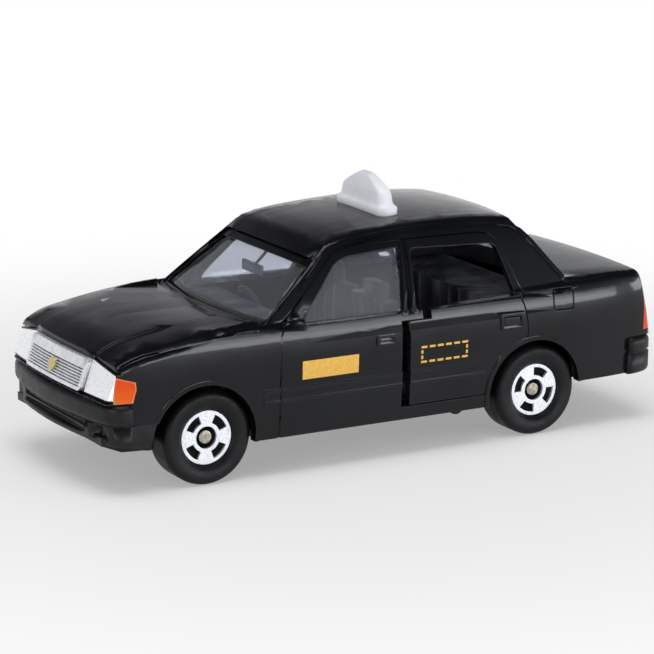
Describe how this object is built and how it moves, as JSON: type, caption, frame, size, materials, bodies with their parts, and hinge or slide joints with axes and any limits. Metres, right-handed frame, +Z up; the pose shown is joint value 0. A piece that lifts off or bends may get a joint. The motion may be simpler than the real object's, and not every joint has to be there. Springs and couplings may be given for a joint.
{
  "type": "die-cast toy taxi saloon",
  "caption": "Palm-size die-cast toy of a four-door taxi saloon: hollow cast body on a plastic base, free-running wheels on steel axles, an opening left rear door and a roof sign.",
  "frame": {"origin": "on the ground under the middle of the car", "axes": "+X towards the car's front, +Y to the car's left, +Z up"},
  "size_m": [0.076, 0.0286, 0.0315],
  "materials": {
    "black_enamel": "gloss black enamel on zinc casting",
    "clear_plastic": "clear moulded styrene",
    "mirror_plastic": "moulded, silvered face",
    "cabin_plastic": "moulded dark grey",
    "white_plastic": "moulded white",
    "base_plastic": "moulded, fine spark texture",
    "silver_print": "silver over the relief",
    "gold_print": "gold over the relief",
    "lamp_silver": "silver white lacquer",
    "lamp_orange": "orange lacquer",
    "lamp_red": "red lacquer",
    "axle_steel": "drawn steel wire",
    "wheel_plastic": "moulded black",
    "wheel_silver": "hot-stamped silver"
  },
  "bodies": {
    "root": {"body_shell": "black_enamel", "glazing": "clear_plastic", "interior_mirror": "mirror_plastic", "cabin_moulding": "cabin_plastic", "roof_sign": "white_plastic", "base_plate": "base_plastic", "front_grille": "silver_print", "grille_badge": "gold_print", "headlamp_left": "lamp_silver", "headlamp_right": "lamp_silver", "corner_lamp_left": "lamp_orange", "corner_lamp_right": "lamp_orange", "tail_lamp_left": "lamp_red", "tail_lamp_right": "lamp_red", "front_axle": "axle_steel", "rear_axle": "axle_steel"},
    "rear_door_left": {"rear_door_left": "black_enamel"},
    "wheel_front_left": {"wheel_front_left": "wheel_plastic", "wheel_face_front_left": "wheel_silver"},
    "wheel_front_right": {"wheel_front_right": "wheel_plastic", "wheel_face_front_right": "wheel_silver"},
    "wheel_rear_left": {"wheel_rear_left": "wheel_plastic", "wheel_face_rear_left": "wheel_silver"},
    "wheel_rear_right": {"wheel_rear_right": "wheel_plastic", "wheel_face_rear_right": "wheel_silver"}
  },
  "joints": [
    {"name": "rear_door_left_hinge", "type": "hinge", "parent": "root", "child": "rear_door_left", "pos_m": [-0.003, 0.0127, 0.0115], "axis": [0, 0, -1], "range_deg": [0, 60]},
    {"name": "wheel_front_left_spin", "type": "hinge", "parent": "root", "child": "wheel_front_left", "pos_m": [0.0239, 0.0109, 0.0055], "axis": [0, 1, 0], "continuous": true},
    {"name": "wheel_front_right_spin", "type": "hinge", "parent": "root", "child": "wheel_front_right", "pos_m": [0.0239, -0.0109, 0.0055], "axis": [0, 1, 0], "continuous": true},
    {"name": "wheel_rear_left_spin", "type": "hinge", "parent": "root", "child": "wheel_rear_left", "pos_m": [-0.0203, 0.0109, 0.0055], "axis": [0, 1, 0], "continuous": true},
    {"name": "wheel_rear_right_spin", "type": "hinge", "parent": "root", "child": "wheel_rear_right", "pos_m": [-0.0203, -0.0109, 0.0055], "axis": [0, 1, 0], "continuous": true}
  ]
}
